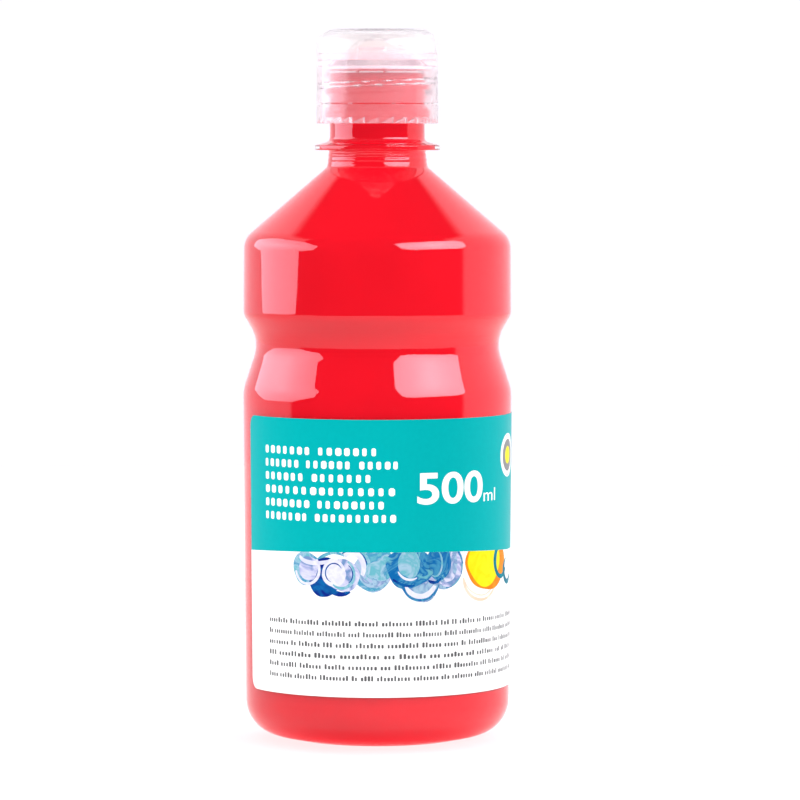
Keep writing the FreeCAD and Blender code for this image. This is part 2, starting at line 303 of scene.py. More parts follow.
class Nodes(Tree):
    """A material's node tree."""

    def __init__(self, name):
        self.material = bpy.data.materials.new(name)
        self.material.use_nodes = True
        super().__init__(self.material.node_tree)
        self.shader = self.tree.nodes["Principled BSDF"]
        self.output = self.tree.nodes["Material Output"]

    def set(self, **inputs):
        for key, setting in inputs.items():
            self.shader.inputs[key.replace("_", " ")].default_value = setting

    def object_place(self):
        return self.add("ShaderNodeTexCoord").outputs["Object"]

    def feed(self, source, key):
        """Joins a value to one of the shader's inputs."""
        self.join(source, self.shader.inputs[key])

    def noise(self, scale, detail=2.0, place=None, roughness=0.5, distortion=0.0):
        node = self.add("ShaderNodeTexNoise")
        for key, setting in (
            ("Scale", scale), ("Detail", detail), ("Roughness", roughness),
            ("Distortion", distortion),
        ):
            node.inputs[key].default_value = setting
        self.join(place or self.object_place(), node.inputs["Vector"])
        return node.outputs["Fac"]

    def ramp(self, source, stops):
        node = self.add("ShaderNodeValToRGB")
        elements = node.color_ramp.elements
        while len(elements) < len(stops):
            elements.new(0.5)
        for element, (position, colour) in zip(elements, stops):
            element.position = position
            element.color = (*colour, 1.0)
        self.join(source, node.inputs["Fac"])
        return node.outputs["Color"]

    def bump(self, source, distance, strength=1.0):
        node = self.add("ShaderNodeBump")
        node.inputs["Distance"].default_value = distance
        node.inputs["Strength"].default_value = strength
        self.join(source, node.inputs["Height"])
        self.feed(node.outputs["Normal"], "Normal")

    def let_lamps_through(self, share):
        """Lets lamps shine through a clear material as if it were a clear pane."""
        clear = self.add("ShaderNodeBsdfTransparent")
        clear.inputs["Color"].default_value = (share, share, share, 1)
        path = self.add("ShaderNodeLightPath")
        mix = self.add("ShaderNodeMixShader")
        self.join(path.outputs["Is Shadow Ray"], mix.inputs["Fac"])
        self.join(self.shader.outputs["BSDF"], mix.inputs[1])
        self.join(clear.outputs["BSDF"], mix.inputs[2])
        self.join(mix.outputs["Shader"], self.output.inputs["Surface"])


def clear_pet():
    """Blow-moulded PET: glass-clear, with the faint waviness that blowing leaves."""
    look = Nodes("pet_clear")
    ior = 1.57
    look.set(Base_Color=(0.97, 0.98, 0.98, 1), IOR=ior, Transmission_Weight=1.0)
    waves = look.noise(38, 1.5)
    look.bump(waves, 0.00035, 0.35)
    streaks = look.noise(260, 3)
    look.feed(look.levels(streaks, 0.01, 0.05), "Roughness")
    # The foot reflects little, as it does where it stands in its own shade.
    height = look.height_of(look.object_place())
    look.feed(look.levels(height, 1.02, ior, 1.5 * MM, 6 * MM), "IOR")
    look.let_lamps_through(0.96)
    return look.material


PAINT_RED = (0.60, 0.0045, 0.013)


def red_paint():
    """Ready-mixed poster paint, opaque and wet against the wall."""
    look = Nodes("paint_red")
    place = look.object_place()
    drift = look.noise(22, 3, place)
    reds = [(0.3, PAINT_RED), (0.7, (0.66, 0.0055, 0.016))]
    look.feed(look.ramp(drift, reds), "Base Color")
    grain = look.noise(900, 2, place)
    look.feed(look.levels(grain, 0.3, 0.5), "Roughness")
    look.set(IOR=1.45, Specular_IOR_Level=0.02)
    return look.material


def natural_pp(name):
    """Natural polypropylene: see-through and a little milky, with the red glow of the paint below
    it painted into its colour.
    """
    look = Nodes(name)
    look.set(IOR=1.49)
    place = look.object_place()
    height = look.levels(look.height_of(place), 0, 1, SKIRT_BOTTOM * MM, LID_TOP * MM)
    # The pink tints partway up are painted glow: they stand in for the paint's red light in the
    # plastic.
    paint_glow, thick, clear = (0.985, 0.885, 0.885), (0.99, 0.85, 0.85), (0.943, 0.93, 0.902)
    tints = [(0.4, paint_glow), (0.48, thick), (0.58, thick), (0.64, paint_glow), (0.72, clear)]
    look.feed(look.ramp(height, tints), "Base Color")
    haze = [(0.4, 0.945), (0.48, 0.86), (0.6, 0.88), (0.68, 0.915)]
    clearness = look.ramp(height, [(at, (share,) * 3) for at, share in haze])
    look.feed(clearness, "Transmission Weight")
    clouds = look.noise(120, 3, place)
    look.feed(look.levels(clouds, 0.10, 0.20), "Roughness")
    flow = look.noise(320, 2, place)
    look.bump(flow, 0.00008, 0.3)
    look.let_lamps_through(0.9)
    return look.material


def film(name, colour, variation=0.03, roughness=0.34):
    """Printed label film: even ink with a faint press mottle under a satin varnish."""
    look = Nodes(name)
    place = look.object_place()
    mottle = look.noise(900, 2, place)
    darker = [channel * (1 - variation) for channel in colour]
    ink = look.ramp(mottle, [(0.35, darker), (0.65, colour)])
    look.feed(ink, "Base Color")
    sheen = look.noise(60, 2, place)
    low, high = roughness - 0.05, roughness + 0.06
    look.feed(look.levels(sheen, low, high), "Roughness")
    look.bump(mottle, 0.000004, 0.3)
    look.set(IOR=1.45, Specular_IOR_Level=0.05)
    return look.material


def brushed_ink(name, stops):
    """Painterly ink: swirling streaks of colour, as a brush leaves them."""
    look = Nodes(name)
    place = look.object_place()
    swirl = look.noise(170, 3, place, 0.55, 1.6)
    look.feed(look.ramp(swirl, stops), "Base Color")
    strokes = look.noise(500, 3, place)
    look.feed(look.levels(strokes, 0.28, 0.42), "Roughness")
    look.set(IOR=1.45, Specular_IOR_Level=0.05)
    return look.material


def liner_foam():
    """The foamed sealing ring, stained pink by the paint."""
    look = Nodes("liner_foam")
    look.set(Base_Color=(0.84, 0.60, 0.62, 1), IOR=1.45)
    cells = look.add("ShaderNodeTexVoronoi")
    cells.inputs["Scale"].default_value = 2500
    look.join(look.object_place(), cells.inputs["Vector"])
    look.bump(cells.outputs["Distance"], 0.00004, 0.6)
    look.feed(look.levels(cells.outputs["Distance"], 0.55, 0.8), "Roughness")
    return look.material


def dress(piece, material, slot, body, *nodes):
    """Gives a piece its material and its body, and hides the CAD nodes it stands for; the record
    slot is not used.
    """
    piece.data.materials.append(material)
    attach(piece, body)
    if nodes:
        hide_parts(*nodes)


# ---- bottle and paint

# Corners of the body's outline from the base upwards: radius, height, rounding
DOME = (14.0, 5.0, 10.0)
BODY = [
    (*LOWER_CORNER, 11.0),
    (31.16, 104.26, 9.5),
    (35.25, 111.25, 3.3),
    (35.1, 131.17, 5.7),
]
PUSH_UP = 6.0
FOOT_INNER, FOOT_OUTER, FOOT_ROUNDING = 20.6, 23.4, 0.8
HEEL_ROUNDING = 9.0
THROAT = (13.2, 149.94)
RING_BOTTOM, RING_RADIUS = 154.3, 16.5
BEAD_BOTTOM, BEAD_RADIUS = 163.0, 14.0
RIDGE_PITCH, RIDGE_DEPTH = 1.24, 0.11

# The wall is left thick at the ring, where blowing does not stretch it
WAIST_BORE = 9.4
BORE_CORNERS = [
    (BORE_RADIUS, 160.0, 3.0),
    (WAIST_BORE, 157.0, 3.0),
    (WAIST_BORE, 152.26, 1.2),
]


def inside(grow):
    """The wall's inside from the shoulder down to the axis; grow moves it into the wall."""
    wall, base = WALL - grow, BASE_WALL - grow
    lower, waist, upper, shoulder = BODY
    return [
        (shoulder[0] - wall, shoulder[1] - wall / 2, shoulder[2] - wall),
        (upper[0] - wall, upper[1], upper[2] - wall),
        (waist[0] - wall, waist[1], waist[2] + wall),
        (lower[0] - wall, lower[1], lower[2] - wall),
        (HEEL[0] - wall, HEEL[1] + base, HEEL_ROUNDING - wall),
        (FOOT_OUTER, base, FOOT_ROUNDING),
        (FOOT_INNER, base, FOOT_ROUNDING),
        (DOME[0], DOME[1] + base, DOME[2]),
        (0.0, PUSH_UP + base, 0),
    ]


def bottle_outline():
    outside = [
        (0.0, PUSH_UP, 0),
        DOME,
        (FOOT_INNER, 0.0, FOOT_ROUNDING),
        (FOOT_OUTER, 0.0, FOOT_ROUNDING),
        (*HEEL, HEEL_ROUNDING),
        *BODY,
        (*THROAT, 1.2),
        (THROAT[0] - 0.45, RING_BOTTOM, 0.25),
        (RING_RADIUS, RING_BOTTOM, 0.4),
        (RING_RADIUS, RING_BOTTOM + 1.3, 0.4),
        (NECK_RADIUS, RING_BOTTOM + 2.5, 1.2),
        (NECK_RADIUS, BEAD_BOTTOM, 0.2),
        (BEAD_RADIUS, BEAD_BOTTOM, 0.25),
        (BEAD_RADIUS, BEAD_BOTTOM + 1.5, 0.5),
        (NECK_RADIUS, BEAD_BOTTOM + 3.2, 0.5),
        (NECK_RADIUS, FINISH_TOP, 0.4),
        (BORE_RADIUS, FINISH_TOP, 0.4),
        *BORE_CORNERS,
    ]
    return rounded(outside + inside(0))


def in_ridges(radius, height):
    return radius > NECK_RADIUS and THROAT[1] < height < RING_BOTTOM - 0.2


def bottle_step(radius, height):
    in_thread = radius > NECK_RADIUS - 0.1 and height > BEAD_BOTTOM + 3
    if in_thread or in_ridges(radius, height):
        return 0.19
    return 3.0


def bottle_shape(radius, height, angle):
    """Adds the neck's thread and the shallow ridges under its ring."""
    if radius > NECK_RADIUS - 0.05 and height > BEAD_BOTTOM + 2.6:
        rise = thread_height(angle, height, NECK_THREAD_LOW, 2.2, 1.1)
        return radius + rise * (NECK_CREST - NECK_RADIUS)
    if in_ridges(radius, height):
        wave = math.cos(FULL_TURN * (height - RING_BOTTOM) / RIDGE_PITCH)
        fade = smoothstep(THROAT[1], THROAT[1] + 0.8, height)
        return radius + RIDGE_DEPTH * (wave - 1) / 2 * fade
    return radius


def make_bottle():
    outline = divide(bottle_outline(), bottle_step)
    bottle = lathe("bottle_wall", outline, 200, shape=bottle_shape)
    dress(bottle, clear_pet(), "pet_clear", "bottle", "bottle")


def make_paint():
    """The paint wets the wall, so its skin lies inside the wall and hides the inner face."""
    sink = 0.25
    top = [
        (0.0, FILL_LEVEL - 0.5, 0),
        (BORE_RADIUS - 2.4, FILL_LEVEL - 0.5, 2.0),
        (BORE_RADIUS + sink, FILL_LEVEL, 0.2),
        *[(radius + sink, height, rounding) for radius, height, rounding in BORE_CORNERS],
    ]
    outline = divide(rounded(top + inside(sink)), lambda r, z: 3.0)
    paint = lathe("paint", outline, 192)
    dress(paint, red_paint(), "paint_red", "bottle", "paint_fill")


# ---- closure


TOOTH_COUNT = 24
TOOTH_WIDTH, TOOTH_HEIGHT, TOOTH_TIP = 3.05, 1.65, 12.95


def bevel(mesh, edges, offset, segments):
    bmesh.ops.bevel(
        mesh, geom=edges, offset=offset * MM, segments=segments, affect="EDGES", profile=0.5
    )


def make_band(plastic):
    """The tamper band's ring, and its ratchet teeth as wedges on its inside."""
    corners = [
        (BAND_RADIUS, BAND_BOTTOM, 0.15),
        (BAND_RADIUS, BAND_TOP, 0.1),
        (CAP_ROOT, BAND_TOP, 0.1),
        (CAP_ROOT, BAND_BOTTOM, 0.15),
    ]
    outline = divide(rounded(corners, closed=True), lambda r, z: 1.2, closed=True)
    ring = lathe("tamper_ring", outline, 240, closed=True)
    dress(ring, plastic, "cap_clear", "band", "tamper_band")
    mesh = bmesh.new()
    side = TOOTH_WIDTH / 2
    triangle = [(-side, 0), (side, 0), (side, TOOTH_HEIGHT)]
    for i in range(TOOTH_COUNT):
        turned = Matrix.Rotation(FULL_TURN * i / TOOTH_COUNT, 3, "Z")
        near = [Vector((x, -TOOTH_TIP, BAND_BOTTOM + z)) for x, z in triangle]
        far = [Vector((x * 1.1, -CAP_ROOT - 0.08, BAND_BOTTOM + z)) for x, z in triangle]
        verts = [mesh.verts.new(turned @ place * MM) for place in near + far]
        mesh.faces.new(verts[:3])
        mesh.faces.new(verts[5:2:-1])
        for a in range(3):
            b = (a + 1) % 3
            mesh.faces.new((verts[a], verts[b], verts[b + 3], verts[a + 3]))
    bevel(mesh, mesh.edges[:], 0.08, 2)
    teeth = finish_mesh("ratchet_teeth", mesh)
    dress(teeth, plastic, "cap_clear", "band")


def make_bridges(plastic, count=8):
    """The frangible bridges between the band and the skirt."""
    mesh = bmesh.new()
    size = Vector((0.5, 1.0, SKIRT_BOTTOM - BAND_TOP))
    centre = Vector((CAP_ROOT + 0.55, 0, (SKIRT_BOTTOM + BAND_TOP) / 2))
    scaled = Matrix.Diagonal((*size * MM, 1))
    for i in range(count):
        turned = Matrix.Rotation(FULL_TURN * (i + 0.5) / count, 4, "Z")
        place = turned @ Matrix.Translation(centre * MM)
        made = bmesh.ops.create_cube(mesh, size=1.0, matrix=place @ scaled)
        edges = {edge for vert in made["verts"] for edge in vert.link_edges}
        upright = [e for e in edges if abs((e.verts[0].co - e.verts[1].co).z) > size.z * MM / 2]
        bevel(mesh, upright, 0.15, 3)
    bridges = finish_mesh("bridges", mesh)
    dress(bridges, plastic, "cap_clear", "band", "band_bridges")


def make_liner():
    inner, rounding = 9.6, 0.25
    corners = [
        (inner, LINER_BOTTOM, rounding),
        (LINER_OUTER, LINER_BOTTOM, rounding),
        (LINER_OUTER, LINER_TOP, rounding),
        (inner, LINER_TOP, rounding),
    ]
    outline = divide(rounded(corners, closed=True), lambda r, z: 1.5, closed=True)
    liner = lathe("seal_ring", outline, 128, closed=True)
    dress(liner, liner_foam(), "liner_foam", "seal", "liner")


CONE_WALL = 1.2
COLLAR_RADIUS, COLLAR_TOP = 14.3, 180.45
DECK_TOP, DECK_BOTTOM = 177.7, 176.3
CONE_RADIUS, TIP_RADIUS, ORIFICE_RADIUS = 10.3, 4.6, 1.35
RIM_RADIUS = 15.87
RECESS_FLOOR, RECESS_HALF, RECESS_HEIGHT = 15.2, 4.0, 4.6
HINGE_HALF = 4.5


def cap_outline():
    collar_inner = COLLAR_RADIUS - 0.9
    bore_top = TIP_HEIGHT - 1.2
    return rounded([
        (CAP_RADIUS, SKIRT_BOTTOM, 0.12),
        (RIM_RADIUS, PARTING, 0.15),
        (COLLAR_RADIUS, PARTING, 0.12),
        (COLLAR_RADIUS, COLLAR_TOP, 0.35),
        (collar_inner, COLLAR_TOP, 0.35),
        (collar_inner, DECK_TOP, 0.3),
        (CONE_RADIUS, DECK_TOP, 1.5),
        (TIP_RADIUS, TIP_HEIGHT, 0.7),
        (ORIFICE_RADIUS, TIP_HEIGHT, 0.25),
        (ORIFICE_RADIUS, bore_top, 0.1),
        (TIP_RADIUS - CONE_WALL, bore_top, 0.3),
        (CONE_RADIUS - CONE_WALL, DECK_BOTTOM, 0.5),
        (CAP_ROOT, DECK_BOTTOM, 0.4),
        (CAP_ROOT, SKIRT_BOTTOM, 0.12),
    ], closed=True)


def cap_step(radius, height):
    on_thread = abs(radius - CAP_ROOT) < 0.1
    return 0.21 if on_thread else 0.45 if radius > RIM_RADIUS - 0.1 else 1.2


def cap_shape(radius, height, angle):
    """Adds the inside thread, the thumb recess at the front and the hinge leaf at the back."""
    if abs(radius - CAP_ROOT) < 0.02 and height < DECK_BOTTOM - 0.3:
        low = NECK_THREAD_LOW + PITCH / 2
        return radius - thread_height(angle, height, low, 1.6, 0.7) * (CAP_ROOT - CAP_CREST)
    if radius < RIM_RADIUS - 0.2:
        return radius
    turn = away(angle, FRONT)
    across = abs(radius * math.sin(turn))
    if math.cos(turn) > 0 and across < RECESS_HALF + 0.5:
        flat = RECESS_FLOOR / math.cos(turn)
        depth = window(across, -1, RECESS_HALF - 0.35, 0.35)
        depth *= smoothstep(PARTING - RECESS_HEIGHT, PARTING - RECESS_HEIGHT + 0.5, height)
        return radius + (flat - radius) * depth
    across = abs(radius * math.sin(away(angle, BACK)))
    if math.cos(turn) < 0:
        rise = window(across, -1, HINGE_HALF - 0.2, 0.3)
        rise *= smoothstep(PARTING - 1.3, PARTING - 0.9, height)
        return radius + rise * (HINGE_Y - 0.2 - radius)
    return radius


def make_cap(plastic):
    outline = divide(cap_outline(), cap_step, closed=True)
    cap = lathe("cap_shell", outline, 300, closed=True, shape=cap_shape)
    dress(cap, plastic, "cap_clear", "closure", "cap_base")


LID_WALL = 1.15
CROWN_DROP = 0.6
PIN_RADIUS, PIN_DROP = 1.0, 3.35
LIP_HALF, LIP_REACH = 3.2, 1.1


def crown(radius, top, step):
    """Points of a gently domed top, from a radius in towards the axis."""
    dome = (LID_RADIUS**2 + CROWN_DROP**2) / (2 * CROWN_DROP)
    count = math.ceil(radius / step)
    places = [radius * (1 - i / count) for i in range(count + 1)]
    return [(r, top - (dome - math.sqrt(dome**2 - r**2))) for r in places]


def lid_outline():
    """From the axis at the pin's tip along the inside, over the rim and up to the crown."""
    inner = LID_RADIUS - LID_WALL
    shelf = LID_TOP - LID_WALL
    pin_bottom = LID_TOP - PIN_DROP
    flat = LID_RADIUS - 7.0
    side = rounded([
        (0.0, pin_bottom, 0),
        (PIN_RADIUS, pin_bottom, 0.35),
        (PIN_RADIUS, shelf, 0.5),
        (flat, shelf - 0.2, 0),
        (inner, shelf - CROWN_DROP, 3.05),
        (inner, LID_BOTTOM, 0.12),
        (LID_RADIUS, LID_BOTTOM, 0.15),
        (LID_RADIUS, LID_TOP - CROWN_DROP, 4.2),
        (flat, LID_TOP - 0.19, 0),
    ])
    return side[:-1] + crown(flat, LID_TOP, 1.2)


def lid_shape(radius, height, angle):
    """Adds the thumb lip at the front of the rim."""
    if radius < LID_RADIUS - 0.3:
        return radius
    turn = away(angle, FRONT)
    if math.cos(turn) < 0:
        return radius
    across = abs(radius * math.sin(turn))
    rise = window(across, -1, LIP_HALF, 0.5)
    rise *= 1 - smoothstep(LID_BOTTOM + 0.7, LID_BOTTOM + 1.5, height)
    return radius + rise * LIP_REACH


def make_lid(plastic):
    outline = divide(lid_outline(), lambda r, z: 0.4 if r > LID_RADIUS - 0.1 else 1.2)
    lid = lathe("lid_shell", outline, 300, shape=lid_shape)
    dress(lid, plastic, "cap_clear", "flip_lid", "lid")


def make_hinge(plastic):
    """The living hinge: a thin strap outside the joint, made in one bowed shape that does not bend
    with the lid.
    """
    reach, bow, narrowing = 1.0, 0.42, 0.9
    steps, columns = 14, 10
    mesh = bmesh.new()
    rows = []
    for i in range(steps + 1):
        t = i / steps
        z = HINGE_Z - reach + 2 * reach * t
        out = HINGE_Y - 0.28 + bow * math.sin(math.pi * t)
        half = HINGE_HALF - narrowing * math.sin(math.pi * t)
        rows.append([
            mesh.verts.new(Vector((half * (2 * j / columns - 1), out, z)) * MM)
            for j in range(columns + 1)
        ])
    for one, two in zip(rows, rows[1:]):
        for j in range(columns):
            mesh.faces.new((one[j], two[j], two[j + 1], one[j + 1]))
    strap = finish_mesh("hinge_strap", mesh)
    thick = strap.modifiers.new("thickness", "SOLIDIFY")
    thick.thickness = 0.22 * MM
    thick.offset = 0
    strap.data.materials.append(plastic)
    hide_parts("hinge_film")
    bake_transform(strap)


# ---- label

LABEL_START = math.radians(-154.2)
LABEL_SWEEP = math.radians(324.9)
LABEL_CORNER = 3.0
TEAL_EDGE = 51.0
LABEL_RADIUS = body_radius(TEAL_EDGE)
LABEL_WIDTH = LABEL_SWEEP * LABEL_RADIUS

# Layers of ink lie this far off the wall, and are cut this often to follow its curve
INK_LIFT, LAYER_LIFT, INK_THICKNESS = 0.075, 0.002, 0.006
INK_STEP = 0.7

# Everything printed on the label, so that the lamps can treat it as one
LABEL_PIECES = bpy.data.collections.new("label_pieces")


def on_label(across, height, lift):
    """A place on the wrapped label: millimetres from its left edge, height and lift."""
    angle = LABEL_START + across / LABEL_RADIUS
    radius = body_radius(height) + lift
    return Vector((radius * math.cos(angle), radius * math.sin(angle), height)) * MM


def print_edge(across):
    """Height of the teal field's lower edge, which bows up a little in the middle."""
    azimuth = (across - across_at(0)) / LABEL_RADIUS
    return TEAL_EDGE + 0.45 - 1.5 * min(abs(azimuth) / math.radians(75), 1) ** 2


def label_rows():
    """Rows of the label from its foot up: (field, height or share of the field's height)."""
    corner = [(1 - math.cos(math.pi / 2 * i / 8)) * LABEL_CORNER for i in range(9)]
    rows = [("end", LABEL_BOTTOM + c) for c in corner]
    rows += [("white", i / 8) for i in range(1, 9)]
    rows += [("teal", i / 8) for i in range(1, 8)]
    return rows + [("end", LABEL_TOP - c) for c in reversed(corner)]


def row_height(row, across):
    kind, value = row
    if kind == "end":
        return value
    edge = print_edge(across)
    if kind == "white":
        foot = LABEL_BOTTOM + LABEL_CORNER
        return foot + value * (edge - foot)
    return edge + value * (LABEL_TOP - LABEL_CORNER - edge)


def corner_inset(height):
    """How far the label's ends pull in at a height, for its rounded corners."""
    off = min(height - LABEL_BOTTOM, LABEL_TOP - height)
    if off >= LABEL_CORNER:
        return 0.0
    return LABEL_CORNER - math.sqrt(max(0.0, LABEL_CORNER**2 - (LABEL_CORNER - off) ** 2))


def face_outwards(mesh):
    """Turns every face of a layer wrapped round the bottle away from the bottle."""
    mesh.normal_update()
    inward = [face for face in mesh.faces if face.normal.dot(face.calc_center_median()) < 0]
    bmesh.ops.reverse_faces(mesh, faces=inward)


def thicken(mesh, thickness):
    """Gives an outward-facing layer a thickness, away from the bottle."""
    bmesh.ops.solidify(mesh, geom=mesh.faces[:], thickness=-thickness * MM)


def make_label():
    """White film printed with a teal field over its upper part."""
    mesh = bmesh.new()
    columns = 220
    rows = []
    fields = label_rows()
    for row in fields:
        inset = corner_inset(row[1]) if row[0] == "end" else 0.0
        span = LABEL_WIDTH - 2 * inset
        places = [inset + span * j / columns for j in range(columns + 1)]
        rows.append([mesh.verts.new(on_label(x, row_height(row, x), 0.02)) for x in places])
    first_teal = next(i for i, (field, _) in enumerate(fields) if field == "teal")
    for i, (one, two) in enumerate(zip(rows, rows[1:]), start=1):
        for j in range(columns):
            face = mesh.faces.new((one[j], one[j + 1], two[j + 1], two[j]))
            face.material_index = 1 if i < first_teal else 0
    face_outwards(mesh)
    thicken(mesh, 0.05)
    label = finish_mesh("label_film", mesh)
    dress(label, film("print_teal", (0.0, 0.36, 0.37)), "label_print", "bottle", "label")
    label.data.materials.append(film("print_white", (0.86, 0.86, 0.86)))
    LABEL_PIECES.objects.link(label)


def cut(mesh, place, across, **options):
    """Cuts a mesh along the plane through a place, square to a direction."""
    geom = mesh.verts[:] + mesh.edges[:] + mesh.faces[:]
    bmesh.ops.bisect_plane(mesh, geom=geom, plane_co=place, plane_no=across, **options)


def print_mark(name, mesh, material, layer=0):
    """Lays a flat mesh of label millimetres on the label as a thin layer of ink."""
    low = min(vert.co.x for vert in mesh.verts)
    high = max(vert.co.x for vert in mesh.verts)
    across = math.ceil(low)
    while across < high:
        cut(mesh, (across, 0, 0), (1, 0, 0))
        across += INK_STEP
    for vert in mesh.verts:
        vert.co = on_label(vert.co.x, vert.co.y, INK_LIFT + LAYER_LIFT * layer)
    face_outwards(mesh)
    thicken(mesh, INK_THICKNESS)
    piece = finish_mesh(name, mesh)
    LABEL_PIECES.objects.link(piece)
    dress(piece, material, "label_print", "bottle")


def cut_at_teal(mesh):
    """Cuts a flat mesh off where it would reach over the teal field."""
    for vert in mesh.verts:
        vert.co.y -= print_edge(vert.co.x)
    cut(mesh, (0, 0, 0), (0, 1, 0), clear_outer=True)
    for vert in mesh.verts:
        vert.co.y += print_edge(vert.co.x)


def add_block(mesh, left, right, low, high):
    """Adds a block with cut corners to a flat mesh."""
    corner = 0.25 * min(right - left, high - low)
    points = cut_corners(left, right, low, high, corner, corner)
    mesh.faces.new([mesh.verts.new(point) for point in points])


def add_words(mesh, left, right, base, height, letters, uneven, chance):
    """Fills a line with words made of plain blocks, one for each letter of each word."""
    space = 0.7
    pitch = (right - left) / (sum(letters) + space * (len(letters) - 1))
    for count in letters:
        for i in range(count):
            start = left + i * pitch
            width = pitch * chance.uniform(0.46, 0.7)
            top = base + height * (1 + uneven * chance.choice((0, 0, 1)))
            add_block(mesh, start, start + width, base, top)
        left += (count + space) * pitch


def across_at(azimuth):
    """Label millimetres at an azimuth in degrees from the camera's side, to the right."""
    return (math.radians(azimuth) + CAMERA_AZIMUTH + FRONT - LABEL_START) * LABEL_RADIUS


def make_words():
    """The label's headings and small print, as rows of plain blocks."""
    chance = random.Random(11)
    heading = bmesh.new()
    front = [(1.4, (7, 7)), (10.2, (6, 6, 5)), (-1.0, (6, 7))]
    front += [(9.0, (15,)), (4.2, (7, 8)), (9.0, (7, 10))]
    back = [(160, (5, 8)), (156, (9, 3)), (164, (6, 9)), (151, (11,))]
    for start, top, lines in ((-55.0, 76.2, front), (112, 72.8, back)):
        for i, (end, letters) in enumerate(lines):
            base = top - 3.42 * i
            add_words(heading, across_at(start), across_at(end), base, 2.0, letters, 0, chance)
    print_mark("print_heading", heading, film("ink_white", (0.9, 0.9, 0.9)))
    notes = bmesh.new()
    for start, end in ((-53.1, 86.0), (102.0, 238.0)):
        for i in range(6):
            letters = [chance.randint(2, 10) for _ in range(14)]
            base = 32.4 - 2.83 * i
            add_words(notes, across_at(start), across_at(end), base, 0.95, letters, 0.4, chance)
    print_mark("print_notes", notes, film("ink_grey", (0.10, 0.10, 0.105)))


def text_mesh(words, corner, size, embolden):
    """A flat bmesh of plain lettering in the built-in font, fitted to a box."""
    curve = bpy.data.curves.new(words, "FONT")
    curve.body = words
    curve.size = 10
    curve.offset = embolden
    holder = in_scene(words, curve)
    bpy.context.view_layer.update()
    data = bpy.data.meshes.new_from_object(holder)
    mesh = bmesh.new()
    mesh.from_mesh(data)
    bpy.data.objects.remove(holder)
    bpy.data.meshes.remove(data)
    bpy.data.curves.remove(curve)
    bmesh.ops.remove_doubles(mesh, verts=mesh.verts[:], dist=1e-4)
    for axis in (0, 1):
        places = [vert.co[axis] for vert in mesh.verts]
        low, high = min(places), max(places)
        for vert in mesh.verts:
            vert.co[axis] = corner[axis] + (vert.co[axis] - low) / (high - low) * size[axis]
    return mesh


def make_volume():
    """The stated volume, a plain number and unit."""
    for name, words, embolden, sides, bottom, height in (
        ("print_number", "500", 0.2, (16.9, 50.6), 63.55, 8.25),
        ("print_unit", "ml", 0.0, (51.3, 60.2), 63.6, 3.3),
    ):
        left, right = (across_at(side) for side in sides)
        mesh = text_mesh(words, (left, bottom), (right - left, height), embolden)
        print_mark(name, mesh, film(f"ink_{name}", (0.9, 0.9, 0.9)))


def add_blot(mesh, centre, size, wobble, seed):
    """Adds an uneven oval blot to a flat mesh."""
    points = []
    for i in range(72):
        angle = FULL_TURN * i / 72
        offset = 1 + wobble * noise.noise(Vector((math.cos(angle), math.sin(angle), seed * 7.3)))
        points.append((
            centre[0] + size[0] * offset * math.cos(angle),
            centre[1] + size[1] * offset * math.sin(angle),
            0,
        ))
    mesh.faces.new([mesh.verts.new(point) for point in points])


def add_stroke(mesh, centre, size, first, last, width, seed):
    """Adds a brush stroke along part of an oval, thin at its ends and uneven between."""
    count = max(12, int((last - first) / 6))
    rails = []
    for i in range(count + 1):
        t = i / count
        angle = math.radians(first + (last - first) * t)
        body = 0.35 + 0.65 * math.sin(math.pi * min(max(t, 0.02), 0.98)) ** 0.5
        uneven = 0.3 * noise.noise(Vector((t * 5, seed * 3.1, 0.5)))
        half = width / 2 * (body + uneven)
        drift = 0.04 * noise.noise(Vector((t * 3, seed * 5.7, 2.5)))
        rails.append([
            mesh.verts.new((
                centre[0] + (size[0] * (1 + drift) + side * half) * math.cos(angle),
                centre[1] + (size[1] * (1 + drift) + side * half) * math.sin(angle),
                0,
            ))
            for side in (-1, 1)
        ])
    for one, two in zip(rails, rails[1:]):
        mesh.faces.new((one[0], one[1], two[1], two[0]))


def ink_stops(*colours):
    """Colour stops of a brushed ink, spread evenly over the noise's usual range."""
    return [(0.36 + 0.28 * i / (len(colours) - 1), colour) for i, colour in enumerate(colours)]


LILAC, PALE, NAVY = (0.36, 0.38, 0.60), (0.58, 0.58, 0.74), (0.004, 0.02, 0.20)
AQUA, SKY, BLUE = (0.12, 0.38, 0.46), (0.05, 0.25, 0.42), (0.004, 0.11, 0.33)
MIST, GREY_BLUE = (0.30, 0.46, 0.58), (0.14, 0.24, 0.44)
YELLOW, LEMON, ORANGE = (0.72, 0.62, 0.004), (0.76, 0.68, 0.01), (0.74, 0.18, 0.008)
CREAM, TEAL = (0.80, 0.52, 0.38), (0.0, 0.13, 0.20)

